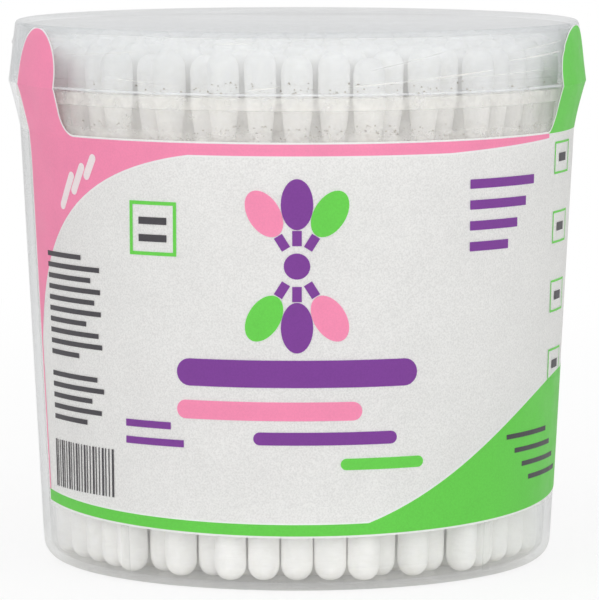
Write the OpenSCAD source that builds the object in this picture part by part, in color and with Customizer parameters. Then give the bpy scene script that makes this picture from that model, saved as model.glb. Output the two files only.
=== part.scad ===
// Round clear tub of cotton swabs, with a lift-off lid and a printed film sleeve.
// Millimetres, +Z up, origin on the tub's axis at the table. The front is at -Y.
// Azimuths are in degrees round the axis from the front, growing towards +X.

/* [Tub] */
// Diameter of the outer wall, its slope carried down to the table
base_d = 73.1; // [70:0.1:90]
// Diameter of the outer wall at the shoulder
shoulder_d = 80; // [78:0.1:98]
// Height of the shoulder, where the collar starts
shoulder_h = 66.7; // [60:0.1:90]
// Thickness of the tub's side wall
wall = 1; // [0.7:0.05:1.2]
// Thickness of the tub's floor
floor_t = 1.1; // [0.6:0.05:2]
// Radius of the rounded edge under the tub
base_round = 2.6; // [1.5:0.1:4]
// Height of the collar that the lid comes down to
collar_h = 1.8; // [0.8:0.1:3]
// How far the collar stands out from the wall
collar_out = 0.35; // [0.1:0.05:0.6]
// Height of the neck above the collar
neck_h = 8.1; // [6:0.1:14]
// Thickness of the neck inside the lid
neck_t = 0.6; // [0.4:0.05:0.8]
// How far the neck's inside is set in from the wall's
neck_step = 0.2; // [0:0.05:0.4]
// Number of upright ribs inside the wall
rib_n = 4; // [3:1:6]
// Azimuth of the first rib
rib_az = -42; // [-60:1:-20]
// How far a rib stands in from the wall
rib_in = 0.35; // [0.2:0.05:0.4]
// Width of a rib
rib_w = 1.6; // [0.8:0.1:2]
// Height of a rib above the table
rib_top = 24; // [10:1:40]

/* [Lid] */
// Thickness of the lid's top plate
lid_t = 0.8; // [0.5:0.05:1.5]
// Thickness of the lid's skirt
skirt_t = 0.65; // [0.4:0.05:0.8]
// How far the skirt flares from its top to its lower edge
skirt_flare = 0.97; // [0.6:0.01:1.5]
// Height of the thicker lip along the skirt's lower edge
lip_h = 1.6; // [0.8:0.1:3]
// How much thicker the lip is than the skirt
lip_extra = 0.3; // [0.1:0.05:0.4]
// Radius of the lid's rounded top corner
lid_round = 0.4; // [0.3:0.05:0.8]
// Gap between the neck and the lid round it
lid_gap = 0.35; // [0.3:0.05:0.6]
// Gap between the collar and the lid's lower edge
lid_seat_gap = 0.3; // [0.3:0.05:0.8]

/* [Swabs] */
// Room between the longest swab and the lid
swab_room = 1.55; // [0.5:0.05:6]
// Most that a swab is shorter than the longest
swab_short = 1.3; // [0:0.1:3]
// Length of a cotton head
head_l = 14.5; // [10:0.5:20]
// Height of the widest place above the tip
head_belly = 5.4; // [4:0.1:7]
// Diameter of the cotton where it ends on the stick
head_end_d = 2.9; // [2.7:0.1:3.4]
// Diameter of the stick
stick_d = 2.4; // [1.8:0.1:2.5]
// Thickness of the cotton over the stick's end
head_cap = 3; // [1.5:0.1:5]
// Gap between two heads at their lower ends
head_gap = 0.08; // [0.06:0.01:0.5]
// Gap between the outermost heads and what is round them
pack_gap = 0.1; // [0.05:0.05:0.6]
// How far a swab's upper end leans off its place
lean = 0.16; // [0:0.01:0.2]

/* [Film] */
// Thickness of the film and of each printed layer on it
film_t = 0.07; // [0.04:0.01:0.1]
// Gap between one layer and the next
layer_gap = 0.02; // [0.01:0.01:0.04]
// Height of the sleeve's lower edge
film_low = 3.4; // [3:0.1:6]
// How far below the shoulder the sleeve leaves the wall and spans to the lid
bridge_drop = 4.4; // [3:0.1:8]
// Width of the slit in the film along the lid's lower edge
film_slit = 0.3; // [0.2:0.05:0.6]

/* [Label] */
// Azimuth of the label's left end
label_left = -70.7; // [-85:0.1:-60]
// Azimuth of the label's right end
label_right = 89.5; // [80:0.1:100]
// How far the label's upper edge lies below the place where the sleeve leaves the wall
label_drop = 0.1; // [0.1:0.1:4]
// Height of the label's lower edge at the front
label_low = 8; // [6:0.1:12]
// How far the lower edge has risen at 70 degrees from the front
label_rise = 1.5; // [0:0.1:3]
// Height of the coloured bands along the upper and lower edges
band_h = 1.6; // [0.8:0.1:3]
// Width of the light border outside the colours
border = 0.3; // [0.2:0.05:0.5]
// Azimuth of the middle of the pink ear
pink_ear_az = -63.5; // [-66:0.1:-60]
// Half of the pink ear's width, in degrees
pink_ear_half = 8.5; // [6:0.1:9]
// Azimuth of the middle of the green ear
green_ear_az = 77; // [74:0.1:80]
// Half of the green ear's width, in degrees
green_ear_half = 12.6; // [9:0.1:13]
// How far the ears stay below the lid's rounded corner
ear_drop = 0.05; // [0.05:0.05:3]

/* [Hidden] */
$fn = 96;
// Degrees in a radian
deg = 180 / PI;
// A little more than nothing, for cuts that run past a face
over = 1;

// Outlines of the tub and its lid
slope = (shoulder_d - base_d) / 2 / shoulder_h;
function wall_r(z) = base_d / 2 + slope * z;
collar_top = shoulder_h + collar_h;
rim_h = collar_top + neck_h;
total_h = rim_h + lid_t;
lid_low = collar_top + lid_seat_gap;
neck_in = wall_r(shoulder_h) - wall - neck_step;
neck_out = neck_in + neck_t;
skirt_top_r = neck_out + lid_gap + skirt_t;
skirt_low_r = skirt_top_r + skirt_flare;
skirt_top_h = total_h - lid_round;
function skirt_r(z) = skirt_top_r + skirt_flare * (skirt_top_h - z) / (skirt_top_h - lid_low);

// Points of an arc about [x, y], from angle a to angle b in n steps
function arc(x, y, r, a, b, n) =
    [for (i = [0 : n]) [x + r * cos(a + (b - a) * i / n), y + r * sin(a + (b - a) * i / n)]];
// Point at share t of a curve that leaves p towards q and reaches s from r
function bend(p, q, r, s, t) =
    pow(1 - t, 3) * p + 3 * pow(1 - t, 2) * t * q + 3 * (1 - t) * t * t * r + t * t * t * s;

// How far a rib runs into the floor below it
rib_root = 0.25;
module tub_rib() {
    inner = wall_r(floor_t) - wall - rib_in;
    intersection() {
        translate([0, -rib_w / 2, floor_t - rib_root]) cube([wall_r(rib_top), rib_w, rib_top - floor_t]);
        rotate_extrude() polygon([
            [inner, 0],
            [wall_r(0) - wall / 2, 0],
            [wall_r(rib_top) - wall / 2, rib_top],
            [wall_r(rib_top) - wall - rib_in, rib_top]]);
    }
}

module tub_body() {
    corner_in = max(base_round - wall, wall / 2);
    corner_h = floor_t + corner_in;
    color([0.86, 0.88, 0.9]) union() {
        rotate_extrude() polygon(concat(
            [[0, 0]],
            arc(wall_r(base_round) - base_round, base_round, base_round, -90, 0, 6),
            [[wall_r(shoulder_h), shoulder_h],
             [wall_r(shoulder_h) + collar_out, shoulder_h],
             [wall_r(shoulder_h) + collar_out, collar_top],
             [neck_out, collar_top],
             [neck_out, rim_h],
             [neck_in, rim_h],
             [neck_in, collar_top],
             [wall_r(shoulder_h) - wall, shoulder_h]],
            arc(wall_r(corner_h) - wall - corner_in, corner_h, corner_in, 0, -90, 5),
            [[0, floor_t]]));
        for (k = [0 : rib_n - 1])
            rotate([0, 0, rib_az - 90 + k * 360 / rib_n]) tub_rib();
    }
}

module lid() {
    in_top = skirt_top_r - skirt_t;
    in_lip = skirt_r(lid_low + lip_h) - skirt_t;
    color([0.86, 0.88, 0.9]) rotate_extrude() polygon(concat(
        [[0, rim_h],
         [in_top, rim_h],
         [in_lip, lid_low + lip_h],
         [in_lip - lip_extra, lid_low + lip_h - lip_extra],
         [skirt_low_r - skirt_t - lip_extra, lid_low],
         [skirt_low_r, lid_low]],
        arc(skirt_top_r - lid_round, skirt_top_h, lid_round, 0, 90, 5),
        [[0, total_h]]));
}

// The sleeve and its printed layers. Layer 0 is the film, and each next one lies outside it.
function layer_out(n) = layer_gap + n * (film_t + layer_gap);
film_bridge = shoulder_h - bridge_drop;
sleeve_top = lid_low - film_slit;
function bridge_r(z) =
    wall_r(film_bridge) + (skirt_low_r - wall_r(film_bridge)) * (z - film_bridge) / (lid_low - film_bridge);
function sleeve_r(z) = z <= film_bridge ? wall_r(z) : bridge_r(z);

// Outline of a layer of the sleeve from height z0 to z1, for turning about the axis
function sleeve_section(n, z0, z1) =
    let (mid = (z0 < film_bridge && z1 > film_bridge) ? [film_bridge] : [],
         zs = concat([z0], mid, [z1]),
         r0 = layer_out(n),
         r1 = r0 + film_t,
         last = len(zs) - 1)
    concat([for (i = [0 : last]) [sleeve_r(zs[i]) + r1, zs[i]]],
           [for (i = [last : -1 : 0]) [sleeve_r(zs[i]) + r0, zs[i]]]);

// A layer of the sleeve between two azimuths and two heights
module sleeve_tile(n, a0, a1, z0, z1) {
    rotate([0, 0, a0 - 90]) rotate_extrude(angle = a1 - a0) polygon(sleeve_section(n, z0, z1));
}

// The same for a layer on the lid's skirt
function cap_section(n, z0, z1) =
    let (r0 = layer_out(n), r1 = r0 + film_t)
    [[skirt_r(z0) + r0, z0], [skirt_r(z0) + r1, z0], [skirt_r(z1) + r1, z1], [skirt_r(z1) + r0, z1]];
module cap_tile(n, a0, a1, z0, z1) {
    rotate([0, 0, a0 - 90]) rotate_extrude(angle = a1 - a0) polygon(cap_section(n, z0, z1));
}

// A prism through the outline pts of [azimuth, height], looking at azimuth az
module outline_prism(az, pts) {
    rotate([0, 0, az]) rotate([90, 0, 0]) linear_extrude(skirt_low_r + over)
        polygon([for (p = pts) [sleeve_r(min(p.y, lid_low)) * sin(p.x - az), p.y]]);
}
// A layer of the sleeve inside an outline, between azimuths a0 and a1
module sleeve_patch(n, a0, a1, pts) {
    zs = [for (p = pts) p.y];
    intersection() {
        sleeve_tile(n, a0, a1, min(zs), max(zs));
        outline_prism((a0 + a1) / 2, pts);
    }
}
module sleeve_field(n, pts) {
    as = [for (p = pts) p.x];
    sleeve_patch(n, min(as) - over, max(as) + over, pts);
}
module cap_field(n, pts) {
    as = [for (p = pts) p.x];
    zs = [for (p = pts) p.y];
    intersection() {
        cap_tile(n, min(as) - over, max(as) + over, min(zs), max(zs));
        outline_prism((min(as) + max(as)) / 2, pts);
    }
}

module film_sleeve() {
    color([0.93, 0.95, 0.97]) rotate_extrude() polygon(sleeve_section(0, film_low, sleeve_top));
}
module film_cap() {
    color([0.93, 0.95, 0.97]) rotate_extrude() polygon(cap_section(0, lid_low, skirt_top_h));
}

// Height of the label's lower edge at an azimuth
rise_az = 70;
function low_edge(a) = label_low + label_rise * pow(a / rise_az, 2);
label_top = film_bridge - label_drop;
// The print is drawn for a label between these heights on a wall of this radius, and stretches with it
drawn_low = 8;
drawn_high = 62.2;
drawn_r = 38.37;
stretch_h = (label_top - label_low) / (drawn_high - drawn_low);
stretch_w = wall_r((label_low + label_top) / 2) / drawn_r;
function up(z) = label_low + (z - drawn_low) * stretch_h;

label_steps = 16;
function low_line(a0, a1, above) =
    [for (i = [0 : label_steps]) let (a = a0 + (a1 - a0) * i / label_steps) [a, low_edge(a) + above]];

// The white ground of the label, in three stretches seen from their own middles
panel_cuts = [label_left, -20, 40, label_right];
module label_panel() {
    color("whitesmoke") for (i = [0 : len(panel_cuts) - 2]) {
        a0 = panel_cuts[i];
        a1 = panel_cuts[i + 1];
        sleeve_patch(1, a0, a1, concat(low_line(a0 - over, a1 + over, -border),
            [[a1 + over, label_top], [a0 - over, label_top]]));
    }
}

// The rounded tongue that runs up from the label onto the lid
ear_top = skirt_top_h - ear_drop;
// How far the ear's straight sides run up before it rounds
ear_side_h = 1.2;
ear_turn = lid_low + ear_side_h;
ear_steps = 12;
function ear_outline(az, half) =
    concat([[az - half, lid_low]],
           [for (i = [0 : ear_steps]) let (t = 180 - i * 180 / ear_steps)
               [az + half * cos(t), ear_turn + (ear_top - ear_turn) * sin(t)]],
           [[az + half, lid_low]]);
// The tongue's foot on the sleeve, whose inner side curves out by reach degrees into the label's top
flare_h = 3.2;
flare_steps = 6;
function foot_outline(outer, inner, reach) =
    concat([[outer, label_top], [outer, sleeve_top], [inner, sleeve_top]],
           [for (i = [flare_steps : -1 : 0]) let (t = i * 90 / flare_steps)
               [inner + reach * (1 - sin(t)), label_top + flare_h * (1 - cos(t))]]);
curve_steps = 12;
function curve(p, q, r, s) = [for (i = [1 : curve_steps]) bend(p, q, r, s, i / curve_steps)];

pink_out = pink_ear_az - pink_ear_half;
pink_in = pink_ear_az + pink_ear_half;
pink_flare = 4;
// Where the curve leaves the top band, the two points that it bends towards, and its foot
pink_curve_az = -22;
pink_bend_top = [-41, up(58.8)];
pink_bend_low = [-64, up(51.5)];
pink_curve_low = up(32.5);
// Width of the pink strip down the label's left end
pink_strip = 0.7;
pink_full_az = 32;
pink_end_az = 62.5;
pink_tip_h = 0.6;
// Gap, in degrees, between two stretches of the pink field
pink_join = 0.05;
// Gap between the pink strip's lower end and the green band
field_gap = 0.05;
module label_pink() {
    strip_in = label_left + pink_strip;
    strip_low = low_edge(label_left) + band_h + field_gap;
    curve_foot = [strip_in, pink_curve_low];
    curve_end = [pink_curve_az - pink_join, label_top - band_h];
    color([0.97, 0.56, 0.71]) union() {
        // The corner that the curve cuts off, with the strip down the label's end
        sleeve_field(2, concat(
            [[label_left, label_top], [label_left, strip_low], [strip_in, strip_low], curve_foot],
            curve(curve_foot, pink_bend_low, pink_bend_top, curve_end),
            [[pink_curve_az - pink_join, label_top]]));
        // The band along the top, which runs out to a point on the right
        sleeve_tile(2, pink_curve_az, pink_full_az, label_top - band_h, label_top);
        sleeve_field(2, [
            [pink_full_az + pink_join, label_top - band_h],
            [pink_end_az, label_top - pink_tip_h],
            [pink_end_az, label_top],
            [pink_full_az + pink_join, label_top]]);
        sleeve_field(2, foot_outline(pink_out, pink_in, pink_flare));
    }
}

// How far the green ear's foot stays inside the label's right end
green_trim = 0.2;
green_out = green_ear_az + green_ear_half - green_trim;
green_in = green_ear_az - green_ear_half;
green_flare = -2.5;
// Where the curve leaves the lower band, the two points that it bends towards, and its upper end
green_low_az = 15.4;
green_bend_low = [40, up(15.5)];
green_bend_high = [55, up(27)];
green_high_az = 78;
green_side_h = up(27.8);
module label_green() {
    curve_foot = [green_high_az, green_side_h];
    curve_end = [green_low_az, low_edge(green_low_az) + band_h];
    band_top = low_line(green_low_az, label_left, band_h);
    color([0.45, 0.8, 0.36]) union() {
        // The band along the bottom
        sleeve_field(2, concat(low_line(label_left, green_low_az, 0), band_top));
        // The corner under the curve
        sleeve_field(2, concat(
            low_line(green_low_az, label_right, 0),
            [[label_right, green_side_h], curve_foot],
            curve(curve_foot, green_bend_high, green_bend_low, curve_end)));
        sleeve_field(2, foot_outline(green_out, green_in, green_flare));
    }
}

module ear_pink() {
    color([0.97, 0.56, 0.71]) cap_field(1, ear_outline(pink_ear_az, pink_ear_half));
}
module ear_green() {
    color([0.45, 0.8, 0.36]) cap_field(1, ear_outline(green_ear_az, green_ear_half));
}

// Flat shapes of the print, placed by arc length s along the wall and by drawn height z.
// Each is drawn round its own middle and turned by turn degrees.
function at_arc(s, z) = s * stretch_w / wall_r(up(z)) * deg;
function place(s, z, turn, pts) =
    [for (p = pts)
        let (x = s + p.x * cos(turn) - p.y * sin(turn), y = z + p.x * sin(turn) + p.y * cos(turn))
        [at_arc(x, y), up(y)]];
oval_steps = 20;
function oval(w, h) =
    [for (i = [0 : oval_steps - 1]) let (t = 360 * i / oval_steps) [w / 2 * cos(t), h / 2 * sin(t)]];
pill_steps = 6;
function pill(w, h) =
    concat(arc(w / 2 - h / 2, 0, h / 2, -90, 90, pill_steps),
           arc(h / 2 - w / 2, 0, h / 2, 90, 270, pill_steps));
module printed(s, z, turn, pts) { sleeve_field(3, place(s, z, turn, pts)); }
module bar(s0, s1, z, h) { sleeve_tile(3, at_arc(s0, z), at_arc(s1, z), up(z), up(z + h)); }
// Bars under each other: the first starts at s0 and is w long, and each next one shifts and shortens
module bars(n, s0, w, z, h, drop, shift, shorter) {
    for (i = [0 : n - 1]) bar(s0 + i * shift, s0 + i * shift + w - i * shorter, z - i * drop, h);
}
// A frame t wide round a box
module frame_box(s, z, w, h, t) {
    difference() {
        bar(s, s + w, z, h);
        outline_prism(at_arc(s + w / 2, z), [
            [at_arc(s + t, z), up(z + t)],
            [at_arc(s + w - t, z), up(z + t)],
            [at_arc(s + w - t, z), up(z + h - t)],
            [at_arc(s + t, z), up(z + h - t)]]);
    }
}

// The main motif is a fan of three swabs over a broad bar
fan_s = 0;
fan_z = 45.5;
fan_turns = [32, 0, -32];
fan_stick_l = 17;
fan_stick_w = 1.3;
fan_head_w = 4.4;
fan_head_l = 7;
fan_knot_d = 3.6;
// Distance from the fan's middle to where its sticks start
fan_hub = 2.8;
// Gap between a stick and its head
fan_gap = 0.1;
module fan_heads(i) {
    for (end = [-1, 1])
        printed(fan_s + end * fan_stick_l / 2 * sin(-fan_turns[i]),
            fan_z + end * fan_stick_l / 2 * cos(fan_turns[i]), fan_turns[i], oval(fan_head_w, fan_head_l));
}
module fan_stick(turn) {
    part_l = (fan_stick_l - fan_head_l) / 2 - fan_hub - fan_gap;
    mid = fan_hub + part_l / 2;
    for (end = [-1, 1])
        printed(fan_s - end * mid * sin(turn), fan_z + end * mid * cos(turn), turn,
            [[-fan_stick_w / 2, -part_l / 2], [fan_stick_w / 2, -part_l / 2],
             [fan_stick_w / 2, part_l / 2], [-fan_stick_w / 2, part_l / 2]]);
}

// Row of four small frames at the right: side, left edge, lowest edge of the top one, and pitch
side_n = 4;
side_s = 45.6;
side_z = 56.3;
side_pitch = 9.9;
side_w = 6.8;
side_h = 4.6;
side_t = 0.3;
side_mark_w = 3.2;
side_mark_h = 1.2;
// A single larger frame at the left
big_s = -24.5;
big_z = 46.5;
big_w = 7.5;
big_t = 0.5;
big_mark_w = 4.5;
big_mark_h = 1;
big_mark_pitch = 2.4;

module print_purple() {
    color([0.5, 0.2, 0.6]) union() {
        fan_heads(1);
        printed(fan_s, fan_z, 0, oval(fan_knot_d, fan_knot_d));
        for (turn = fan_turns) fan_stick(turn);
        printed(s = 0, z = 30.6, turn = 0, pts = pill(w = 34, h = 3.8));
        printed(s = 4, z = 21.6, turn = 0, pts = pill(w = 20, h = 1.8));
        bars(n = 4, s0 = 25.5, w = 13.5, z = 55.5, h = 1.3, drop = 2.9, shift = 0, shorter = 2);
        bars(n = 2, s0 = -25.5, w = 7.5, z = 22.4, h = 1, drop = 2.4, shift = 0, shorter = -2);
    }
}
module print_pink() {
    color([0.95, 0.45, 0.65]) union() {
        fan_heads(0);
        printed(s = -4, z = 25.4, turn = 0, pts = pill(w = 26, h = 2.6));
    }
}
module print_green() {
    color([0.35, 0.72, 0.28]) union() {
        fan_heads(2);
        printed(s = 12, z = 18, turn = 0, pts = pill(w = 12, h = 1.6));
        for (i = [0 : side_n - 1]) frame_box(side_s, side_z - i * side_pitch, side_w, side_h, side_t);
        frame_box(big_s, big_z, big_w, big_w, big_t);
    }
}

// Lengths of the lines of small print, as shares of the longest
line_shares = [0.7, 1, 0.85, 1, 0.9, 1, 0.75, 0.95, 1, 0.6, 0, 0.9, 1, 0.8, 0.95, 0.7];
line_w = 13;
line_pitch = 1.55;
line_t = 0.7;
small_s = -43.4;
small_z = 45;
small_shift = 0.06;
// Upright stripes below them, every third one broad
stripe_n = 22;
stripe_s = -42.6;
stripe_z = 12;
stripe_h = 6.8;
stripe_pitch = 0.68;
stripe_w = 0.22;
stripe_broad = 0.4;
module print_dark() {
    color([0.25, 0.24, 0.27]) union() {
        for (i = [0 : len(line_shares) - 1])
            if (line_shares[i] > 0) {
                s = small_s + i * small_shift;
                bar(s, s + line_w * line_shares[i], small_z - i * line_pitch, line_t);
            }
        for (i = [0 : stripe_n - 1]) {
            s = stripe_s + i * stripe_pitch;
            bar(s, s + (i % 3 == 0 ? stripe_broad : stripe_w), stripe_z, stripe_h);
        }
        mark_s = side_s + (side_w - side_mark_w) / 2;
        side_mark_z = side_z + (side_h - side_mark_h) / 2;
        bars(n = side_n, s0 = mark_s, w = side_mark_w, z = side_mark_z, h = side_mark_h,
            drop = side_pitch, shift = 0, shorter = 0);
        bars(n = 4, s0 = 33.5, w = 12, z = 19.6, h = line_t, drop = 2.1, shift = 2, shorter = 0);
        big_mark_z = big_z + (big_w + big_mark_pitch - big_mark_h) / 2;
        bars(n = 2, s0 = big_s + (big_w - big_mark_w) / 2, w = big_mark_w, z = big_mark_z, h = big_mark_h,
            drop = big_mark_pitch, shift = 0, shorter = 0);
    }
}
// Three slanted strokes on the pink corner, each one shorter than the one before
stroke_s = -37.2;
stroke_z = 54.6;
stroke_step = [2.6, 1.8];
stroke_turn = 62;
stroke_l = 6;
stroke_t = 1.3;
module print_white() {
    color("white") for (i = [0 : 2])
        printed(stroke_s + i * stroke_step.x, stroke_z + i * stroke_step.y, stroke_turn,
            pill(stroke_l - i, stroke_t));
}

// Swabs stand on the floor in a close triangular packing and fan out upwards.
// The farthest place is this many pitches out, squared, which gives 199 swabs.
pack_norm = 52;
ring_max = 8;
// The heads are as thick as the room for them at the floor and in the neck allows.
low_room = wall_r(head_belly) - wall - rib_in - pack_gap;
top_room = neck_in - lean - pack_gap;
head_r = (min(low_room, top_room) - head_gap * sqrt(pack_norm)) / (1 + 2 * sqrt(pack_norm));
low_scale = (low_room - head_r) / sqrt(pack_norm);
top_scale = (top_room - head_r) / sqrt(pack_norm);
function norm(i, j) = i * i + i * j + j * j;
function ring_of(i, j) = max(abs(i), abs(j), abs(i + j));
function spot(i, j) = [i + j / 2, j * sqrt(3) / 2];
// A fixed number from 0 to 1 for each swab, different for each kind
function odd(i, j, kind) =
    let (v = sin(127.1 * i + 311.7 * j + 74.7 * kind) * 4375.85) v - floor(v);

// The places of ring k, and those outside the rings at the front (side -1) and at the back (side 1)
outside = 7;
function places_where(a, b, side) =
    [for (j = [-ring_max : ring_max]) for (i = [-ring_max : ring_max])
        if (norm(i, j) <= pack_norm && ring_of(i, j) >= a && ring_of(i, j) <= b
            && (side == 0 || (j < 0 ? -1 : 1) == side)) [i, j]];
function ring_places(k) = places_where(k, k, 0);
function outer_places(side) = places_where(outside, ring_max, side);
stand_gap = 0.05;
swab_l = rim_h - floor_t - stand_gap - swab_room;
tip_lean = min(lean, (top_scale - 2 * head_r) / 2);
function foot(p) = [low_scale * spot(p.x, p.y).x, low_scale * spot(p.x, p.y).y, floor_t + stand_gap];
function tip_off(p) =
    let (a = 360 * odd(p.x, p.y, 1), m = tip_lean * odd(p.x, p.y, 2)) [m * cos(a), m * sin(a)];
function head(p) =
    [top_scale * spot(p.x, p.y).x + tip_off(p).x, top_scale * spot(p.x, p.y).y + tip_off(p).y, rim_h];
function length_of(p) = swab_l - swab_short * pow(odd(p.x, p.y, 3), 2);

// Stands a swab's part, drawn up the Z axis, in the place p
module in_place(p) {
    d = head(p) - foot(p);
    side = sqrt(d.x * d.x + d.y * d.y);
    translate(foot(p)) rotate([0, atan2(side, d.z), atan2(d.y, d.x)]) children();
}

// Outline of a head above its tip at z 0: a dome, a belly and a taper to the stick
bore_gap = 0.05;
dome_steps = 3;
// Powers that blunt the dome: of its width and of its height
dome_blunt = 0.8;
dome_rise = 1.2;
// Where the taper has a corner: share of the head's radius, and share of the way from the belly to the end
taper_r = 0.9;
taper_at = 0.42;
function head_section() = concat(
    [[0, 0]],
    [for (i = [1 : dome_steps]) let (t = 90 * i / dome_steps)
        [head_r * pow(sin(t), dome_blunt), head_belly * pow(1 - cos(t), dome_rise)]],
    [[head_r * taper_r, head_belly + (head_l - head_belly) * taper_at],
     [head_end_d / 2, head_l],
     [stick_d / 2 + bore_gap, head_l],
     [stick_d / 2 + bore_gap, head_cap],
     [0, head_cap]]);
module cotton_head() { rotate_extrude() polygon(head_section()); }

module heads_low(where) {
    color("white") for (p = where) in_place(p) cotton_head();
}
module heads_top(where) {
    color("white") for (p = where)
        in_place(p) translate([0, 0, length_of(p)]) mirror([0, 0, 1]) cotton_head();
}
module sticks(where) {
    end = head_cap + bore_gap;
    color("white") for (p = where)
        in_place(p) translate([0, 0, end]) cylinder(d = stick_d, h = length_of(p) - 2 * end);
}

tub_body();
lid();
film_sleeve();
film_cap();
label_panel();
label_pink();
label_green();
ear_pink();
ear_green();
print_purple();
print_pink();
print_green();
print_dark();
print_white();
sticks(ring_places(0));  // sticks_ring_0
sticks(ring_places(1));  // sticks_ring_1
sticks(ring_places(2));  // sticks_ring_2
sticks(ring_places(3));  // sticks_ring_3
sticks(ring_places(4));  // sticks_ring_4
sticks(ring_places(5));  // sticks_ring_5
sticks(ring_places(6));  // sticks_ring_6
sticks(outer_places(-1));  // sticks_front
sticks(outer_places(1));  // sticks_back
heads_top(ring_places(0));  // heads_top_ring_0
heads_top(ring_places(1));  // heads_top_ring_1
heads_top(ring_places(2));  // heads_top_ring_2
heads_top(ring_places(3));  // heads_top_ring_3
heads_top(ring_places(4));  // heads_top_ring_4
heads_top(ring_places(5));  // heads_top_ring_5
heads_top(ring_places(6));  // heads_top_ring_6
heads_top(outer_places(-1));  // heads_top_front
heads_top(outer_places(1));  // heads_top_back
heads_low(ring_places(0));  // heads_low_ring_0
heads_low(ring_places(1));  // heads_low_ring_1
heads_low(ring_places(2));  // heads_low_ring_2
heads_low(ring_places(3));  // heads_low_ring_3
heads_low(ring_places(4));  // heads_low_ring_4
heads_low(ring_places(5));  // heads_low_ring_5
heads_low(ring_places(6));  // heads_low_ring_6
heads_low(outer_places(-1));  // heads_low_front
heads_low(outer_places(1));  // heads_low_back
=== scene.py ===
import math
import random

import bmesh
import bpy
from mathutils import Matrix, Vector, noise


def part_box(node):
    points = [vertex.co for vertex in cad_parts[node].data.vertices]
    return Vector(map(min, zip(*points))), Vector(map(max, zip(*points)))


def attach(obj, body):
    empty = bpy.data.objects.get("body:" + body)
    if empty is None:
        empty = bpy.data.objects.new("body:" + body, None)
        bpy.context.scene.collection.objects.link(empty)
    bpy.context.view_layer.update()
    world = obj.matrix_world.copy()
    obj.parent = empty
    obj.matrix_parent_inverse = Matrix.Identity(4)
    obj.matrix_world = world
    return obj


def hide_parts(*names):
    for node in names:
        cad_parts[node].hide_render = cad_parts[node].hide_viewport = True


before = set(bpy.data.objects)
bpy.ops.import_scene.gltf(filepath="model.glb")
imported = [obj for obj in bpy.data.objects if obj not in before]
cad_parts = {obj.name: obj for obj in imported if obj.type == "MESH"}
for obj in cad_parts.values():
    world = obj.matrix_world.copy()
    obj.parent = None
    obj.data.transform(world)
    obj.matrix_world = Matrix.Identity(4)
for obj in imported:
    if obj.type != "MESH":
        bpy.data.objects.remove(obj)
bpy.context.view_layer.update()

# Sizes in metres and angles in degrees. The rim, the lid's heights and its lower radius come from the part.
MM = 0.001
RIM_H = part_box("tub_body")[1].z
LID_LO, LID_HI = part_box("lid")
TOTAL_H = LID_HI.z
LID_LOW = LID_LO.z
SKIRT_LOW_R = LID_HI.x
BASE_R = 36.55 * MM
SHOULDER_R = 40.0 * MM
SHOULDER_H = 66.7 * MM
COLLAR_TOP = 68.5 * MM
COLLAR_OUT = 0.35 * MM
WALL = 1.0 * MM
FLOOR_T = 1.1 * MM
BASE_ROUND = 2.6 * MM
NECK_T = 0.6 * MM
NECK_STEP = 0.2 * MM
NECK_IN = SHOULDER_R - WALL - NECK_STEP
NECK_OUT = NECK_IN + NECK_T
SKIRT_T = 0.65 * MM
SKIRT_FLARE = 0.97 * MM
SKIRT_TOP_R = SKIRT_LOW_R - SKIRT_FLARE
LID_ROUND = 0.4 * MM
SKIRT_TOP_H = TOTAL_H - LID_ROUND
LIP_H = 1.6 * MM
LIP_EXTRA = 0.3 * MM
RIBS = 4
RIB_AZ = -42.0
RIB_IN = 0.35 * MM
RIB_W = 1.6 * MM
RIB_TOP = 24.0 * MM
RIB_RUNOUT = 2.5 * MM
SLOPE = (SHOULDER_R - BASE_R) / SHOULDER_H
# Small radii of the moulded edges
TUB_EDGE = 0.18 * MM
LID_EDGE = 0.15 * MM

# The film and the print on it. OFF is how far a layer stands off the wall.
FILM_LOW = 3.4 * MM
FILM_BRIDGE = 62.3 * MM
SLIT = 0.004 * MM
SLEEVE_TOP = LID_LOW - SLIT
FILM_OFF = 0.05 * MM
GROUND_OFF = 0.10 * MM
EDGE_OFF = 0.125 * MM
FIELD_OFF = 0.15 * MM
PRINT_OFF = 0.18 * MM
LABEL_LEFT = -70.7
LABEL_RIGHT = 89.5
LABEL_TOP = 62.2 * MM
LABEL_LOW = 8.0 * MM
LABEL_RISE = 1.5 * MM
RISE_AZ = 70
BAND_H = 1.6 * MM
BORDER = 0.28 * MM

# How finely the meshes are made
ROUND_SEGMENTS = 256
BASE_STEPS = 10
CORNER_STEPS = 8
FILM_COLUMNS = 960
CURVE_STEPS = 24
SHARP_ANGLE = 35
# A length that counts as nothing
TINY = 1e-6


# Outer radii at a height
def wall_r(z):
    return BASE_R + SLOPE * z


def skirt_r(z):
    return SKIRT_TOP_R + (SKIRT_LOW_R - SKIRT_TOP_R) * (SKIRT_TOP_H - z) / (SKIRT_TOP_H - LID_LOW)


def sleeve_r(z):
    if z <= FILM_BRIDGE:
        return wall_r(z)
    share = (z - FILM_BRIDGE) / (LID_LOW - FILM_BRIDGE)
    return wall_r(FILM_BRIDGE) + (SKIRT_LOW_R - wall_r(FILM_BRIDGE)) * share


def arc(x, y, r, start, end, steps):
    angles = [math.radians(start + (end - start) * i / steps) for i in range(steps + 1)]
    return [(x + r * math.cos(a), y + r * math.sin(a)) for a in angles]


def bend(p, q, r, s, t):
    """The point at share t of a curve that leaves p towards q and reaches s from r."""
    u = 1 - t
    weights = (u**3, 3 * u * u * t, 3 * u * t * t, t**3)
    return tuple(sum(w * v for w, v in zip(weights, values)) for values in zip(p, q, r, s))


def curve(p, q, r, s, steps=CURVE_STEPS):
    return [bend(p, q, r, s, i / steps) for i in range(steps + 1)]


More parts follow.
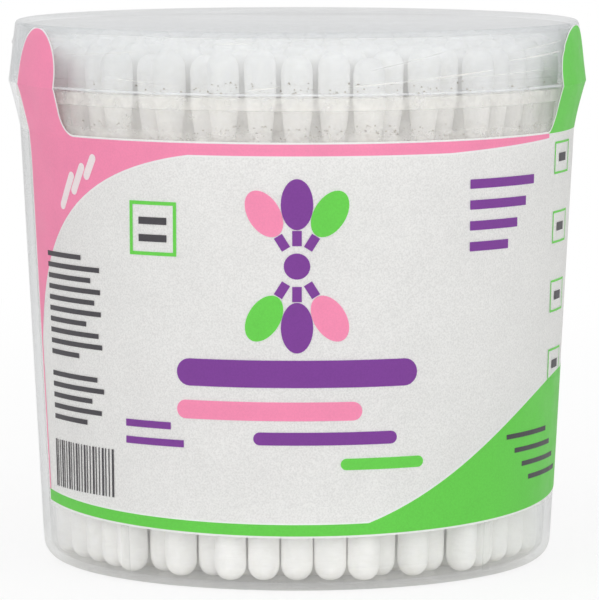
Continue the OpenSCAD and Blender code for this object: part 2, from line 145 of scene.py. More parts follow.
# Materials. Noise mostly lies between these two values.
NOISE_LOW = 0.3
NOISE_HIGH = 0.7


class Nodes:
    """Short forms for adding and joining the nodes of one material."""

    def __init__(self, name):
        self.material = bpy.data.materials.new(name)
        self.material.use_nodes = True
        self.tree = self.material.node_tree
        self.tree.nodes.clear()
        self.out = self.add("ShaderNodeOutputMaterial")
        self.place = self.add("ShaderNodeTexCoord").outputs["Object"]

    def add(self, kind, **inputs):
        node = self.tree.nodes.new(kind)
        for name, value in inputs.items():
            self.feed(node.inputs[name.replace("_", " ")], value)
        return node

    def feed(self, socket, value):
        if isinstance(value, bpy.types.NodeSocket):
            self.tree.links.new(value, socket)
        else:
            socket.default_value = value

    def noise(self, scale, detail=3.0, roughness=0.55, stretch=None):
        where = self.place
        if stretch:
            where = self.add("ShaderNodeMapping", Vector=where, Scale=stretch).outputs[0]
        node = self.add("ShaderNodeTexNoise", Vector=where, Scale=scale, Detail=detail, Roughness=roughness)
        return node.outputs["Fac"]

    def ramp(self, value, first, second, low=NOISE_LOW, high=NOISE_HIGH):
        """Runs from the first colour to the second as the value runs from low to high."""
        node = self.add("ShaderNodeValToRGB", Fac=value)
        for element, at, colour in zip(node.color_ramp.elements, (low, high), (first, second)):
            element.position = at
            element.color = (*colour, 1.0)
        return node.outputs["Color"]

    def map(self, value, to_low, to_high, low=NOISE_LOW, high=NOISE_HIGH):
        """Runs from to_low to to_high as the value runs from low to high."""
        node = self.add("ShaderNodeMapRange", Value=value)
        for socket, number in zip(list(node.inputs)[1:5], (low, high, to_low, to_high)):
            socket.default_value = number
        return node.outputs["Result"]

    def math(self, operation, a, b=0.0):
        node = self.add("ShaderNodeMath")
        node.operation = operation
        self.feed(node.inputs[0], a)
        self.feed(node.inputs[1], b)
        return node.outputs[0]

    def bump(self, height, strength, distance):
        node = self.add("ShaderNodeBump", Height=height, Strength=strength, Distance=distance)
        return node.outputs["Normal"]

    def mix(self, share, first, second):
        """Two shaders mixed. The share is the second one's."""
        node = self.add("ShaderNodeMixShader", Fac=share)
        self.feed(node.inputs[1], first)
        self.feed(node.inputs[2], second)
        return node.outputs[0]

    def finish(self, shader):
        self.feed(self.out.inputs["Surface"], shader)
        return self.material


def shaded(colour, amount):
    return tuple(max(0.0, min(1.0, c * amount)) for c in colour)


# How much clear plastic mirrors head-on and at a grazing angle, and how late the mirror and the painted
# edge shade set in
HEAD_ON_MIRROR = 0.035
GRAZING_MIRROR = 0.85
MIRROR_POWER = 5.0
EDGE_SHADE_POWER = 3.0


def clear_plastic(name, tint, painted_edge_shade, haze, roughness, ripple, milk_tones, cloudy=()):
    """Thin clear plastic: it lets the view through, greys towards its edges with painted shade, and mirrors
    by its angle.

    ripple is the scale and the detail of its unevenness, and milk_tones are the two colours of its haze.
    cloudy lists the bands where the surface is milky, from scuffing and dust, and on the lid's lower edge
    as a painted highlight. Each is (lowest height, highest height, haze at the lowest, haze at the highest).
    """
    m = Nodes(name)
    normal = m.bump(m.noise(*ripple), strength=0.2, distance=0.4 * MM)
    facing = m.add("ShaderNodeLayerWeight", Blend=0.5, Normal=normal).outputs["Facing"]
    # Towards the edges the view greys: painted shade that stands for the dark surroundings seen there.
    see = m.ramp(m.math("POWER", facing, EDGE_SHADE_POWER), tint, painted_edge_shade, low=0.0, high=1.0)
    through = m.add("ShaderNodeBsdfTransparent", Color=see).outputs[0]
    mirror = m.add("ShaderNodeBsdfGlossy", Color=(1.0, 1.0, 1.0, 1.0), Normal=normal,
                   Roughness=m.map(m.noise(120.0), roughness * 0.7, roughness * 1.6)).outputs[0]
    grazing = m.math("POWER", facing, MIRROR_POWER)
    mirror_share = m.map(grazing, HEAD_ON_MIRROR, GRAZING_MIRROR, low=0.0, high=1.0)
    clean = m.mix(mirror_share, through, mirror)
    # Milky share: smudging all over, and the cloudy bands on top, one of them a painted highlight
    milk_share = m.map(m.noise(70.0, detail=4.0), haze * 0.4, haze * 1.6, low=0.35)
    height = m.add("ShaderNodeSeparateXYZ", Vector=m.place).outputs["Z"]
    scuff_and_highlight_grain = m.map(m.noise(400.0, detail=4.0), 0.5, 1.5)
    for low, high, at_low, at_high in cloudy:
        above, below = m.math("GREATER_THAN", height, low), m.math("LESS_THAN", height, high)
        inside = m.math("MULTIPLY", above, below)
        amount = m.map(height, at_low, at_high, low, high)
        milk_share = m.math("ADD", milk_share, m.math("MULTIPLY", inside, m.math("MULTIPLY", scuff_and_highlight_grain, amount)))
    milk_tone = m.ramp(m.noise(250.0), *milk_tones)
    milk = m.add("ShaderNodeBsdfDiffuse", Color=milk_tone, Normal=normal).outputs[0]
    return m.finish(m.mix(milk_share, clean, milk))


# Share of a printed film that glows with the light behind it
FILM_GLOW = 0.33


def printed_film(name, colour, speckle, roughness=0.38):
    """Ink under film: even colour with a fine grain, a little mottling and a soft gloss.

    Some light comes through it.
    """
    m = Nodes(name)
    grain = m.noise(4200.0, detail=2.0, roughness=0.6)
    dark, light = shaded(colour, 1 - speckle), shaded(colour, 1 + speckle * 0.4)
    fine = m.ramp(grain, dark, light, low=0.36, high=0.62)
    wide = m.ramp(m.noise(160.0), (0.965, 0.965, 0.965), (1.0, 1.0, 1.0))
    # Inputs 6 and 7 of a mix node are its two colours, and output 2 is the mixed colour.
    both = m.add("ShaderNodeMix")
    both.data_type = "RGBA"
    both.blend_type = "MULTIPLY"
    both.inputs["Factor"].default_value = 1.0
    m.feed(both.inputs[6], fine)
    m.feed(both.inputs[7], wide)
    surface = m.add("ShaderNodeBsdfPrincipled", Base_Color=both.outputs[2], Specular_IOR_Level=0.35,
                    Roughness=m.map(m.noise(300.0), roughness - 0.07, roughness + 0.08),
                    Normal=m.bump(m.noise(90.0, detail=2.0), strength=0.12, distance=0.5 * MM))
    glow = m.add("ShaderNodeBsdfTranslucent", Color=both.outputs[2])
    return m.finish(m.mix(FILM_GLOW, surface.outputs[0], glow.outputs[0]))


def cotton(name):
    """Matted cotton wool: soft white with faint shadowed fibres wound round the head."""
    m = Nodes(name)
    strands = m.noise(900.0, detail=5.0, roughness=0.65, stretch=(1.0, 1.0, 2.6))
    lumps = m.noise(330.0)
    height = m.math("ADD", m.math("MULTIPLY", strands, 0.6), m.math("MULTIPLY", lumps, 0.6))
    surface = m.add("ShaderNodeBsdfPrincipled",
                    Base_Color=m.ramp(strands, (0.93, 0.922, 0.905), (0.98, 0.976, 0.968), high=0.6),
                    Roughness=m.map(strands, 0.85, 1.0),
                    Normal=m.bump(height, strength=0.45, distance=0.4 * MM),
                    Specular_IOR_Level=0.1, Sheen_Weight=0.25, Sheen_Roughness=0.6, Subsurface_Weight=0.25,
                    Subsurface_Radius=(1.0 * MM, 1.0 * MM, 0.9 * MM), Subsurface_Scale=0.6)
    return m.finish(surface.outputs[0])


def stick_paper(name):
    """Rolled paper with a grain along the stick."""
    m = Nodes(name)
    grain = m.noise(500.0, detail=4.0, roughness=0.6, stretch=(1.0, 1.0, 0.12))
    surface = m.add("ShaderNodeBsdfPrincipled",
                    Base_Color=m.ramp(grain, (0.93, 0.915, 0.885), (0.97, 0.96, 0.94)),
                    Roughness=m.map(grain, 0.5, 0.7),
                    Normal=m.bump(grain, strength=0.2, distance=0.2 * MM))
    return m.finish(surface.outputs[0])


def dust_material(name):
    """Brown crumbs, some darker than others."""
    m = Nodes(name)
    spots = m.noise(1500.0, detail=2.0)
    colour = m.ramp(spots, (0.16, 0.13, 0.10), (0.42, 0.36, 0.27), low=0.35, high=0.65)
    surface = m.add("ShaderNodeBsdfPrincipled", Base_Color=colour, Roughness=m.map(spots, 0.8, 1.0))
    return m.finish(surface.outputs[0])


# Bands of haze: how far they reach past a face, how high they are above the label, on the skirt's lower
# edge and up the skirt, and how far below the rim and the top the lid's two upper bands end
HAZE_OVER = 0.05 * MM
LABEL_HAZE_H = 1.5 * MM
# The band on the skirt's lower edge is a painted highlight.
LIP_HIGHLIGHT_H = 0.3 * MM
SKIRT_HAZE_H = 6.5 * MM
SKIRT_HAZE_END = 0.1 * MM
CORNER_HAZE_END = 0.15 * MM
WARM_MILK = ((0.84, 0.82, 0.77), (0.90, 0.885, 0.855))
COOL_MILK = ((0.79, 0.81, 0.825), (0.86, 0.875, 0.885))
TUB_CLEAR = clear_plastic(
    "tub_clear", tint=(0.992, 0.992, 0.99), painted_edge_shade=(0.87, 0.88, 0.885), haze=0.035, roughness=0.06,
    ripple=(55.0, 2.0), milk_tones=WARM_MILK, cloudy=[
        (-HAZE_OVER, FLOOR_T + HAZE_OVER, 0.12, 0.12),
        (FLOOR_T, LABEL_LOW, 0.05, 0.0),
        (LABEL_TOP, LABEL_TOP + LABEL_HAZE_H, 0.10, 0.04),
        (LABEL_TOP, SHOULDER_H, 0.19, 0.17),
        (SHOULDER_H, COLLAR_TOP, 0.3, 0.3),
    ])
RIB_CLEAR = clear_plastic(
    "rib_clear", tint=(0.96, 0.965, 0.965), painted_edge_shade=(0.70, 0.715, 0.72), haze=0.10, roughness=0.10,
    ripple=(90.0, 2.0), milk_tones=WARM_MILK)
LID_CLEAR = clear_plastic(
    "lid_clear", tint=(0.985, 0.988, 0.990), painted_edge_shade=(0.80, 0.815, 0.83), haze=0.085, roughness=0.08,
    ripple=(50.0, 2.0), milk_tones=COOL_MILK, cloudy=[
        # A painted highlight: a bright milky line along the lid's lower lip
        (LID_LOW - HAZE_OVER, LID_LOW + LIP_HIGHLIGHT_H, 0.3, 0.3),
        (RIM_H - SKIRT_HAZE_H, RIM_H - SKIRT_HAZE_END, 0.0, 0.15),
        (RIM_H + HAZE_OVER, TOTAL_H - CORNER_HAZE_END, 0.10, 0.10),
    ])
FILM_CLEAR = clear_plastic(
    "film_clear", tint=(0.995, 0.995, 0.995), painted_edge_shade=(0.93, 0.935, 0.94), haze=0.03, roughness=0.05,
    ripple=(120.0, 3.0), milk_tones=COOL_MILK)
# Painted highlights: milky white lines along the film's creases stand for their glints.
CREASE_HIGHLIGHT = clear_plastic(
    "film_crease", tint=(0.99, 0.99, 0.99), painted_edge_shade=(0.93, 0.935, 0.94), haze=0.42, roughness=0.2,
    ripple=(150.0, 2.0), milk_tones=WARM_MILK)
GROUND = printed_film("print_ground", (0.91, 0.908, 0.897), speckle=0.10)
WHITE_INK = printed_film("print_white_ink", (0.93, 0.93, 0.925), speckle=0.03)
PINK = printed_film("print_pink_ink", (0.99, 0.32, 0.52), speckle=0.04)
GREEN = printed_film("print_green_ink", (0.17, 0.72, 0.095), speckle=0.05)
PURPLE = printed_film("print_purple_ink", (0.25, 0.06, 0.37), speckle=0.05)
DARK = printed_film("print_dark_ink", (0.085, 0.08, 0.09), speckle=0.08)
COTTON = cotton("cotton")
PAPER = stick_paper("stick_paper")
DUST = dust_material("dust")


# Meshes
def add_object(name, mesh, material):
    mesh.shade_smooth()
    mesh.materials.append(material)
    piece = bpy.data.objects.new(name, mesh)
    bpy.context.scene.collection.objects.link(piece)
    return piece


def new_object(name, verts, faces, material):
    mesh = bpy.data.meshes.new(name)
    mesh.from_pydata([tuple(v) for v in verts], [], faces)
    mesh.update()
    return add_object(name, mesh, material)


def stands_for(piece, body, slot, *nodes):
    """Puts the piece in a body and hides the nodes, given by name, that it replaces. The slot is not used.
    """
    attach(piece, body)
    if nodes:
        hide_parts(*nodes)


def strips(rows, closed=True):
    """Faces between rows of equally many points. Closed rows run all the way round."""
    faces = []
    for low, high in zip(rows, rows[1:]):
        for k in range(len(low) if closed else len(low) - 1):
            n = (k + 1) % len(low)
            faces.append((low[k], low[n], high[n], high[k]))
    return faces


def lathe(name, outline, material):
    """Turns an outline of (radius, height) about Z. Its first and last points are on the axis."""
    sides = range(ROUND_SEGMENTS)
    angles = [2 * math.pi * k / ROUND_SEGMENTS for k in sides]
    verts = [(0.0, 0.0, outline[0][1])]
    rows = []
    for r, z in outline[1:-1]:
        rows.append([len(verts) + k for k in sides])
        verts += [(r * math.cos(a), r * math.sin(a), z) for a in angles]
    last = len(verts)
    verts.append((0.0, 0.0, outline[-1][1]))
    faces = [(0, rows[0][(k + 1) % ROUND_SEGMENTS], rows[0][k]) for k in sides]
    faces += strips(rows)
    faces += [(rows[-1][k], rows[-1][(k + 1) % ROUND_SEGMENTS], last) for k in sides]
    return new_object(name, verts, faces, material)


# Corners flatter than this stay, and a round takes at most this share of an edge
NEARLY_STRAIGHT = 160
EDGE_SHARE = 0.45


def rounded(points, radius, steps=3):
    """Rounds the corners between an outline's two ends by a small radius, as moulded edges are."""
    out = [points[0]]
    for before, at, after in zip(points, points[1:], points[2:]):
        at_v, b, a = Vector(at), Vector(before) - Vector(at), Vector(after) - Vector(at)
        if b.length < TINY or a.length < TINY or b.angle(a) > math.radians(NEARLY_STRAIGHT):
            out.append(at)
            continue
        cut = min(radius, b.length * EDGE_SHARE, a.length * EDGE_SHARE)
        start, end = at_v + b.normalized() * cut, at_v + a.normalized() * cut
        for i in range(steps + 1):
            t = i / steps
            p = start * (1 - t) ** 2 + at_v * 2 * t * (1 - t) + end * t * t
            out.append((p.x, p.y))
    out.append(points[-1])
    return out


def tub_outline():
    corner_in = BASE_ROUND - WALL
    corner_h = FLOOR_T + corner_in
    base = arc(wall_r(BASE_ROUND) - BASE_ROUND, BASE_ROUND, BASE_ROUND, -90, 0, BASE_STEPS)
    side = [
        (SHOULDER_R, SHOULDER_H),
        (SHOULDER_R + COLLAR_OUT, SHOULDER_H),
        (SHOULDER_R + COLLAR_OUT, COLLAR_TOP),
        (NECK_OUT, COLLAR_TOP),
        (NECK_OUT, RIM_H),
        (NECK_IN, RIM_H),
        (NECK_IN, COLLAR_TOP),
        (SHOULDER_R - WALL, SHOULDER_H),
    ]
    inside = arc(wall_r(corner_h) - WALL - corner_in, corner_h, corner_in, 0, -90, CORNER_STEPS)
    middle = rounded(base[-1:] + side + inside[:1], TUB_EDGE)
    return [(0.0, 0.0)] + base[:-1] + middle + inside[1:] + [(0.0, FLOOR_T)]


# Points across a rib and up it, and the power that makes its section round
RIB_ACROSS = 6
RIB_ROWS = 14
RIB_FULLNESS = 0.6
# A rib's sides run this far into the wall, and this share of its height is left at its top
RIB_ROOT = 0.01 * MM
RIB_LEAST = 0.02


def add_rib(mesh, turn):
    """A half-round rib down the inside of the wall, run out at its top."""
    grid = []
    for i in range(RIB_ROWS + 1):
        z = FLOOR_T + (RIB_TOP - FLOOR_T) * i / RIB_ROWS
        height = RIB_IN * min(1.0, (RIB_TOP - z) / RIB_RUNOUT + RIB_LEAST)
        inner = wall_r(z) - WALL + RIB_ROOT
        row = []
        for j in range(RIB_ACROSS + 1):
            across = -RIB_W / 2 + RIB_W * j / RIB_ACROSS
            out = inner
            if abs(across) < RIB_W / 2:
                out -= height * math.cos(math.pi * across / RIB_W) ** RIB_FULLNESS
            a = turn + across / inner
            row.append(mesh.verts.new((out * math.cos(a), out * math.sin(a), z)))
        grid.append(row)
    for low_left, low_right, high_right, high_left in strips(grid, closed=False):
        face = mesh.faces.new((low_right, low_left, high_left, high_right))
        face.smooth = True
        face.material_index = 1


def build_tub():
    tub = lathe("tub_shell", tub_outline(), TUB_CLEAR)
    tub.data.materials.append(RIB_CLEAR)
    mesh = bmesh.new()
    mesh.from_mesh(tub.data)
    for k in range(RIBS):
        add_rib(mesh, math.radians(RIB_AZ - 90 + 360 * k / RIBS))
    mesh.to_mesh(tub.data)
    mesh.free()
    tub.data.set_sharp_from_angle(angle=math.radians(SHARP_ANGLE))
    stands_for(tub, "tub", "clear_plastic", "tub_body")


def build_lid():
    in_top = SKIRT_TOP_R - SKIRT_T
    in_lip = skirt_r(LID_LOW + LIP_H) - SKIRT_T
    outline = [
        (0.0, RIM_H),
        (in_top, RIM_H),
        (in_lip, LID_LOW + LIP_H),
        (in_lip - LIP_EXTRA, LID_LOW + LIP_H - LIP_EXTRA),
        (SKIRT_LOW_R - SKIRT_T - LIP_EXTRA, LID_LOW),
        (SKIRT_LOW_R, LID_LOW),
    ]
    corner = arc(SKIRT_TOP_R - LID_ROUND, SKIRT_TOP_H, LID_ROUND, 0, 90, CORNER_STEPS)
    points = rounded(outline + corner[:1], LID_EDGE) + corner[1:] + [(0.0, TOTAL_H)]
    lid = lathe("lid_shell", points, LID_CLEAR)
    lid.data.set_sharp_from_angle(angle=math.radians(SHARP_ANGLE))
    stands_for(lid, "lid", "clear_plastic", "lid")


# Creases of the film on the lid's skirt: azimuth and height of one end, azimuth and height of the other,
# and how far the crease stands out. Heights and sizes are in millimetres.
CREASES = [
    (9.4, 70.0, 41.5, 71.9, 0.20), (45.0, 73.0, 67.0, 73.9, 0.16), (-9.7, 69.5, -3.0, 70.1, 0.12),
    (-16.0, 75.8, -7.4, 75.9, 0.12), (14.0, 72.2, 30.0, 74.6, 0.08), (-40.0, 71.0, -27.0, 70.2, 0.07),
    (47.0, 74.2, 68.0, 75.4, 0.08), (30.0, 70.9, 62.0, 71.6, 0.06), (-52.0, 73.6, -30.0, 74.6, 0.06),
    (120.0, 70.2, 141.0, 72.6, 0.16), (170.0, 73.5, 195.0, 71.0, 0.15), (222.0, 70.4, 246.0, 72.0, 0.17),
    (100.0, 74.0, 112.0, 75.2, 0.10), (203.0, 74.5, 214.0, 75.4, 0.10), (262.0, 73.2, 276.0, 74.8, 0.12),
]
CREASE_W = 0.33 * MM
# A crease runs on past each end by this share of its length, and the power says how blunt its ends are
CREASE_FADE = 0.1
CREASE_BLUNT = 0.5
# Half the width of the painted highlight along a crease, as a share of how far the crease stands out
HIGHLIGHT_HALF_SHARE = 0.7
LINE_BLUNT = 0.6


def crease_height(azimuth, z):
    total = 0.0
    for a0, z0, a1, z1, height in CREASES:
        middle = (a0 + a1) / 2
        a = middle + (azimuth - middle + 180) % 360 - 180
        run = math.radians(a1 - a0) * SKIRT_LOW_R
        rise = (z1 - z0) * MM
        x, y = math.radians(a - a0) * SKIRT_LOW_R, z - z0 * MM
        along = (x * run + y * rise) / (run * run + rise * rise)
        if -CREASE_FADE < along < 1 + CREASE_FADE:
            across = (x * rise - y * run) / math.hypot(run, rise)
            share = (along + CREASE_FADE) / (1 + 2 * CREASE_FADE)
            fade = math.sin(math.pi * min(1.0, max(0.0, share))) ** CREASE_BLUNT
            total += height * MM * fade * math.exp(-((across / CREASE_W) ** 2))
    return total


def crease_highlight(azimuth0, z0, azimuth1, z1, height):
    """Outline of the painted highlight along a crease: long, thin, and pointed at both ends."""
    lower, upper = [], []
    for i in range(CURVE_STEPS + 1):
        share = i / CURVE_STEPS
        a = azimuth0 + (azimuth1 - azimuth0) * share
        z = (z0 + (z1 - z0) * share) * MM
        half = height * HIGHLIGHT_HALF_SHARE * MM * math.sin(math.pi * share) ** LINE_BLUNT
        lower.append((a, z - half))
        upper.append((a, z + half))
    return lower + upper[-2:0:-1]


# Ripples: how busy they are round the tub and with height, and how far they stand out on and below the lid
RIPPLE_ROUND, RIPPLE_UP = 3.2, 260
RIPPLE_ON_LID, RIPPLE_BELOW = 0.03 * MM, 0.02 * MM
# Pleats below the lid: how busy they are round the tub, how far they slant, and how deep they are. They are
# a slice of noise at a level of its own, and the shift brings most of them inwards.
PLEAT_ROUND, PLEAT_SLANT = 15, 9
PLEAT_DEPTH, PLEAT_SHIFT = 0.12 * MM, 0.6
PLEAT_LEVEL = 0.4
# Film this close below the lid's edge already follows the skirt
SEAM_REACH = 0.1 * MM


def on_skirt(z):
    return z > LID_LOW - SEAM_REACH


def film_lift(azimuth, z):
    """How far the film stands out of its plain form, with its ripples, pleats and creases."""
    a = math.radians(azimuth)
    ripple = noise.noise(Vector((RIPPLE_ROUND * math.cos(a), RIPPLE_ROUND * math.sin(a), z * RIPPLE_UP)))
    if on_skirt(z):
        return crease_height(azimuth, z) + RIPPLE_ON_LID * (ripple + 1)
    if z > FILM_BRIDGE:
        share = (z - FILM_BRIDGE) / (SLEEVE_TOP - FILM_BRIDGE)
        span = math.sin(math.pi * min(1.0, share))
        slanted = a + z * PLEAT_SLANT
        where = Vector((PLEAT_ROUND * math.cos(slanted), PLEAT_ROUND * math.sin(slanted), PLEAT_LEVEL))
        pleat = noise.noise(where)
        return -span * (PLEAT_DEPTH * (pleat + PLEAT_SHIFT) + RIPPLE_BELOW * ripple)
    return 0.0


def on_film(azimuth, z, off):
    r = (skirt_r(z) if on_skirt(z) else sleeve_r(z)) + off + film_lift(azimuth, z)
    a = math.radians(azimuth)
    return (r * math.sin(a), -r * math.cos(a), z)


def film_band(name, z0, z1, steps, body, node):
    """Clear film all the way round between two heights."""
    verts, rows = [], []
    for i in range(steps + 1):
        z = z0 + (z1 - z0) * i / steps
        rows.append([len(verts) + k for k in range(FILM_COLUMNS)])
        verts += [on_film(360 * k / FILM_COLUMNS, z, FILM_OFF) for k in range(FILM_COLUMNS)]
    stands_for(new_object(name, verts, strips(rows), FILM_CLEAR), body, "film", node)


# Height of the rows of faces in a printed field where the film leaves the wall, in millimetres
FIELD_ROW = 0.35
# A cut this close to a point goes through the point
CUT_SNAP = 1e-5
# Keeps a sharp corner of a grown outline from moving out by more than twice the growth
MITRE_LEAST = 0.5


def sheet(name, outlines, off, material, body, slot, *nodes):
    """A printed field, laid on the film at off from the wall. Outlines are lists of (azimuth, height).

    It is filled and cut while it lies flat, with azimuths in degrees across it and heights in millimetres up
    it. Then it is wrapped round the film.
    """
    mesh = bmesh.new()
    for outline in outlines:
        mesh.faces.new([mesh.verts.new((a, z / MM, 0.0)) for a, z in outline])
    mesh.normal_update()
    bmesh.ops.triangulate(mesh, faces=mesh.faces[:], ngon_method="EAR_CLIP")
    azimuths = [a for outline in outlines for a, z in outline]
    heights = [z / MM for outline in outlines for a, z in outline]
    cuts = [((a, 0, 0), (1, 0, 0)) for a in range(math.ceil(min(azimuths)), math.ceil(max(azimuths)))]
    row = max(FILM_BRIDGE / MM, min(heights))
    while row < max(heights):
        cuts.append(((0, row, 0), (0, 1, 0)))
        row += FIELD_ROW
    for point, direction in cuts:
        geometry = mesh.verts[:] + mesh.edges[:] + mesh.faces[:]
        bmesh.ops.bisect_plane(mesh, geom=geometry, dist=CUT_SNAP, plane_co=point, plane_no=direction)
    for v in mesh.verts:
        v.co = on_film(v.co.x, v.co.y * MM, off)
    bmesh.ops.recalc_face_normals(mesh, faces=mesh.faces[:])
    for f in mesh.faces:
        middle = f.calc_center_median()
        if f.normal.dot(Vector((middle.x, middle.y, 0))) < 0:
            f.normal_flip()
    data = bpy.data.meshes.new(name)
    mesh.to_mesh(data)
    mesh.free()
    stands_for(add_object(name, data, material), body, slot, *nodes)


def grown(outline, by, low=0.0, high=SLEEVE_TOP):
    """The outline pushed outwards all round along the surface, and kept between two heights."""
    flat = [Vector((math.radians(a) * wall_r(z), z)) for a, z in outline]
    area = sum(p.x * q.y - q.x * p.y for p, q in zip(flat, flat[1:] + flat[:1]))
    side = 1 if area > 0 else -1
    out = []
    for k, p in enumerate(flat):
        before, after = p - flat[k - 1], flat[(k + 1) % len(flat)] - p
        normals = [Vector((e.y, -e.x)).normalized() * side for e in (before, after) if e.length > TINY]
        total = sum(normals, Vector((0.0, 0.0)))
        if total.length > TINY:
            total = total.normalized() * by / max(MITRE_LEAST, total.length / 2)
        q = p + total
        out.append((math.degrees(q.x / wall_r(q.y)), min(high, max(low, q.y))))
    return out


# Outlines of the printed fields. Points are (azimuth, height).
def low_edge(azimuth):
    return LABEL_LOW + LABEL_RISE * (azimuth / RISE_AZ) ** 2


def low_line(a0, a1, above):
    azimuths = [a0 + (a1 - a0) * i / CURVE_STEPS for i in range(CURVE_STEPS + 1)]
    return [(a, low_edge(a) + above) for a in azimuths]


PINK_EAR_AZ, PINK_EAR_HALF = -63.5, 8.5
GREEN_EAR_AZ, GREEN_EAR_HALF = 77.0, 12.6
EAR_TURN = 70.0 * MM
EAR_DROP = 0.05 * MM
EAR_TOP = SKIRT_TOP_H - EAR_DROP
EAR_STEP = 6
FLARE_H = 3.2 * MM
FLARE_STEPS = 10


def ear(azimuth, half, low):
    """The tongue that runs up onto the lid, with straight sides and a round end."""
    turns = [math.radians(t) for t in range(180, -1, -EAR_STEP)]
    top = [(azimuth + half * math.cos(t), EAR_TURN + (EAR_TOP - EAR_TURN) * math.sin(t)) for t in turns]
    return [(azimuth - half, low)] + top + [(azimuth + half, low)]


def flare(inner, reach):
    """The hollow curve from the ear's inner side, at azimuth inner, down into the band."""
    turns = [math.radians(90 - 90 * i / FLARE_STEPS) for i in range(FLARE_STEPS + 1)]
    return [(inner + reach * (1 - math.sin(t)), LABEL_TOP + FLARE_H * (1 - math.cos(t))) for t in turns]


# The pink field. SIDE lists the heights of the bend from its left side to the ear. Its inner curve leaves
# the top band at CURVE_AZ, bends towards two points, and ends on the strip down the left end. The band has
# its full height up to FULL_AZ, and runs out to a tip at END_AZ.
PINK_OUT, PINK_IN = PINK_EAR_AZ - PINK_EAR_HALF, PINK_EAR_AZ + PINK_EAR_HALF
PINK_SIDE = [h * MM for h in (57, 61, 62, 66)]
PINK_SIDE_STEPS = 8
PINK_CURVE_AZ = -22
PINK_BEND_TOP = (-41, 58.8 * MM)
PINK_BEND_LOW = (-64, 51.5 * MM)
PINK_CURVE_LOW = 32.5 * MM
PINK_STRIP = 0.7
PINK_FLARE = 4
PINK_FULL_AZ = 32
PINK_END_AZ = 62.5
PINK_TIP_H = 0.6 * MM


def pink_outline():
    left_bottom = low_edge(LABEL_LEFT) + BAND_H
    band_low = LABEL_TOP - BAND_H
    strip = LABEL_LEFT + PINK_STRIP
    ends = zip((LABEL_LEFT, LABEL_LEFT, PINK_OUT, PINK_OUT), PINK_SIDE)
    side = [(LABEL_LEFT, left_bottom)] + curve(*ends, steps=PINK_SIDE_STEPS)
    foot = [(PINK_OUT, SLEEVE_TOP), (PINK_IN, SLEEVE_TOP)] + flare(PINK_IN, PINK_FLARE)
    band = [(PINK_END_AZ, LABEL_TOP), (PINK_END_AZ, LABEL_TOP - PINK_TIP_H), (PINK_FULL_AZ, band_low)]
    inner = curve((PINK_CURVE_AZ, band_low), PINK_BEND_TOP, PINK_BEND_LOW, (strip, PINK_CURVE_LOW))
    return side + foot + band + inner + [(strip, left_bottom)]


# The green field. Its curve leaves the lower band at LOW_AZ, bends towards two points, and ends at HIGH_AZ.
# The ear's foot stays inside the label's right end by TRIM.
GREEN_LOW_AZ = 15.4
GREEN_BEND_LOW = (40, 15.5 * MM)
GREEN_BEND_HIGH = (55, 27 * MM)
GREEN_HIGH_AZ = 78
GREEN_SIDE_H = 27.8 * MM
GREEN_TRIM = 0.2
GREEN_FLARE = 2.5


def green_outline():
    lower = low_line(LABEL_LEFT, LABEL_RIGHT, 0)
    upper = low_line(GREEN_LOW_AZ, LABEL_LEFT, BAND_H)
    inner = curve((GREEN_HIGH_AZ, GREEN_SIDE_H), GREEN_BEND_HIGH, GREEN_BEND_LOW, upper[0])
    return lower + [(LABEL_RIGHT, GREEN_SIDE_H)] + inner + upper[1:]


def green_foot():
    outer, inner = GREEN_EAR_AZ + GREEN_EAR_HALF - GREEN_TRIM, GREEN_EAR_AZ - GREEN_EAR_HALF
    hollow = [(2 * inner - a, z) for a, z in flare(inner, GREEN_FLARE)]
    return [(outer, LABEL_TOP), (outer, SLEEVE_TOP), (inner, SLEEVE_TOP)] + hollow


# The white ground's upper edge rises by this much to its right end
GROUND_RISE = 0.2 * MM


def ground_outline():
    low = low_line(LABEL_LEFT, LABEL_RIGHT, -BORDER)
    return low + [(LABEL_RIGHT, LABEL_TOP + GROUND_RISE), (LABEL_LEFT, LABEL_TOP)]


# Print shapes, placed by arc length s along the wall and by height z, both in millimetres
def around(s, z, turn, points):
    """Places points drawn round their own middle, turned by turn degrees."""
    c, n = math.cos(math.radians(turn)), math.sin(math.radians(turn))
    out = []
    for x, y in points:
        at_s, at_z = s + x * c - y * n, z + x * n + y * c
        out.append((math.degrees(at_s * MM / wall_r(at_z * MM)), at_z * MM))
    return out


OVAL_STEPS = 40
PILL_STEPS = 12


def oval(w, h):
    turns = [2 * math.pi * i / OVAL_STEPS for i in range(OVAL_STEPS)]
    return [(w / 2 * math.cos(t), h / 2 * math.sin(t)) for t in turns]


def pill(w, h):
    right = arc(w / 2 - h / 2, 0, h / 2, -90, 90, PILL_STEPS)
    left = arc(h / 2 - w / 2, 0, h / 2, 90, 270, PILL_STEPS)
    return right + left


def box(w, h):
    return [(-w / 2, -h / 2), (w / 2, -h / 2), (w / 2, h / 2), (-w / 2, h / 2)]


def bar(s, w, z, h):
    """A bar w wide and h high, with its lower left corner at (s, z)."""
    return around(0, 0, 0, [(s, z), (s + w, z), (s + w, z + h), (s, z + h)])


def bars(count, s, w, z, h, drop, shift=0, shorter=0):
    """Bars under each other. Each next one drops, shifts and gets shorter by so much."""
    return [bar(s + i * shift, w - i * shorter, z - i * drop, h) for i in range(count)]


def frame_box(s, z, w, h, t):
    """The four sides of a frame, each t wide."""
    inner_h = h - 2 * t
    level = [bar(s, w, z, t), bar(s, w, z + h - t, t)]
    upright = [bar(s, t, z + t, inner_h), bar(s + w - t, t, z + t, inner_h)]
    return level + upright


